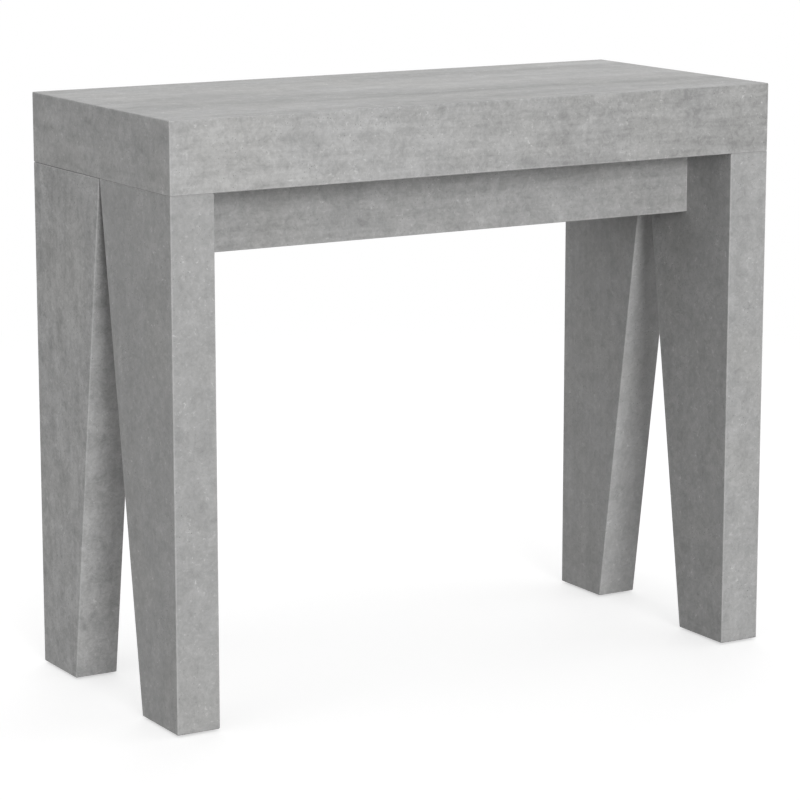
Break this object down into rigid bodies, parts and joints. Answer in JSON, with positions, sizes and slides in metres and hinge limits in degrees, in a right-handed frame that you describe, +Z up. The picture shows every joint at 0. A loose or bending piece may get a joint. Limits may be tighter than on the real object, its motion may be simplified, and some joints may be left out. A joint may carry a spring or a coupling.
{
  "type": "extendable console table",
  "caption": "Slim console table with slanted slab legs and a boxed top; the rear legs pull out on a telescopic rail frame to take loose leaves for dining.",
  "frame": {"origin": "on the floor under the middle of the closed table", "axes": "+X along the table's length, to the right seen from the front; +Y to the rear, the way the table pulls out; +Z up"},
  "size_m": [0.9, 0.4, 0.775],
  "materials": {
    "concrete_laminate": "matt concrete-look melamine on chipboard",
    "plywood": "raw plywood",
    "beech": "fluted beech",
    "aluminium": "mill-finish extrusion",
    "grey_steel": "grey powder coat",
    "zinc_steel": "zinc plated",
    "zinc": "die-cast zinc",
    "nylon": "black nylon",
    "stop_plastic": "black plastic"
  },
  "bodies": {
    "console": {"top_panel": "concrete_laminate", "front_fascia": "concrete_laminate", "left_fascia": "concrete_laminate", "right_fascia": "concrete_laminate", "front_left_leg": "concrete_laminate", "front_right_leg": "concrete_laminate", "front_apron": "concrete_laminate", "front_cleats": "plywood", "front_leg_bolts": "zinc_steel", "front_leg_inserts": "zinc_steel", "front_apron_cams": "zinc", "front_apron_cam_bolts": "zinc_steel", "front_dowels": "beech", "front_glides": "nylon", "left_fixed_rail": "aluminium", "right_fixed_rail": "aluminium", "fixed_rail_screws": "zinc_steel", "fixed_rail_stop_pins": "zinc_steel"},
    "rear_frame": {"rear_left_leg": "concrete_laminate", "rear_right_leg": "concrete_laminate", "rear_apron": "concrete_laminate", "rear_cleats": "plywood", "rear_leg_bolts": "zinc_steel", "rear_leg_inserts": "zinc_steel", "rear_apron_cams": "zinc", "rear_apron_cam_bolts": "zinc_steel", "rear_dowels": "beech", "rear_glides": "nylon", "rear_beam": "concrete_laminate", "rear_slip_pads": "nylon", "left_end_rail": "aluminium", "right_end_rail": "aluminium", "end_rail_stop_plugs": "stop_plastic", "end_rail_brackets": "grey_steel", "end_rail_screws": "zinc_steel"},
    "stage_1": {"stage_1_left_rail": "aluminium", "stage_1_right_rail": "aluminium", "stage_1_cross_tie": "grey_steel", "stage_1_tie_screws": "zinc_steel", "stage_1_stops": "stop_plastic"},
    "stage_2": {"stage_2_left_rail": "aluminium", "stage_2_right_rail": "aluminium", "stage_2_cross_tie": "grey_steel", "stage_2_tie_screws": "zinc_steel", "stage_2_stops": "stop_plastic"},
    "stage_3": {"stage_3_left_rail": "aluminium", "stage_3_right_rail": "aluminium", "stage_3_cross_tie": "grey_steel", "stage_3_tie_screws": "zinc_steel", "stage_3_stops": "stop_plastic"},
    "stage_4": {"stage_4_left_rail": "aluminium", "stage_4_right_rail": "aluminium", "stage_4_cross_tie": "grey_steel", "stage_4_tie_screws": "zinc_steel", "stage_4_stops": "stop_plastic"},
    "stage_5": {"stage_5_left_rail": "aluminium", "stage_5_right_rail": "aluminium", "stage_5_cross_tie": "grey_steel", "stage_5_tie_screws": "zinc_steel", "stage_5_stops": "stop_plastic"}
  },
  "joints": [
    {"name": "table_extension", "type": "slide", "parent": "console", "child": "rear_frame", "axis": [0, 1, 0], "range_m": [0, 1.56]},
    {"name": "stage_1_slide", "type": "slide", "parent": "console", "child": "stage_1", "axis": [0, 1, 0], "range_m": [0, 0.2605]},
    {"name": "stage_2_slide", "type": "slide", "parent": "console", "child": "stage_2", "axis": [0, 1, 0], "range_m": [0, 0.5205]},
    {"name": "stage_3_slide", "type": "slide", "parent": "console", "child": "stage_3", "axis": [0, 1, 0], "range_m": [0, 0.7805]},
    {"name": "stage_4_slide", "type": "slide", "parent": "console", "child": "stage_4", "axis": [0, 1, 0], "range_m": [0, 1.0405]},
    {"name": "stage_5_slide", "type": "slide", "parent": "console", "child": "stage_5", "axis": [0, 1, 0], "range_m": [0, 1.3005]}
  ],
  "couplings": [
    {"joint": "stage_1_slide", "follows": "table_extension", "ratio": 0.16667},
    {"joint": "stage_2_slide", "follows": "table_extension", "ratio": 0.33333},
    {"joint": "stage_3_slide", "follows": "table_extension", "ratio": 0.5},
    {"joint": "stage_4_slide", "follows": "table_extension", "ratio": 0.66667},
    {"joint": "stage_5_slide", "follows": "table_extension", "ratio": 0.83333}
  ]
}
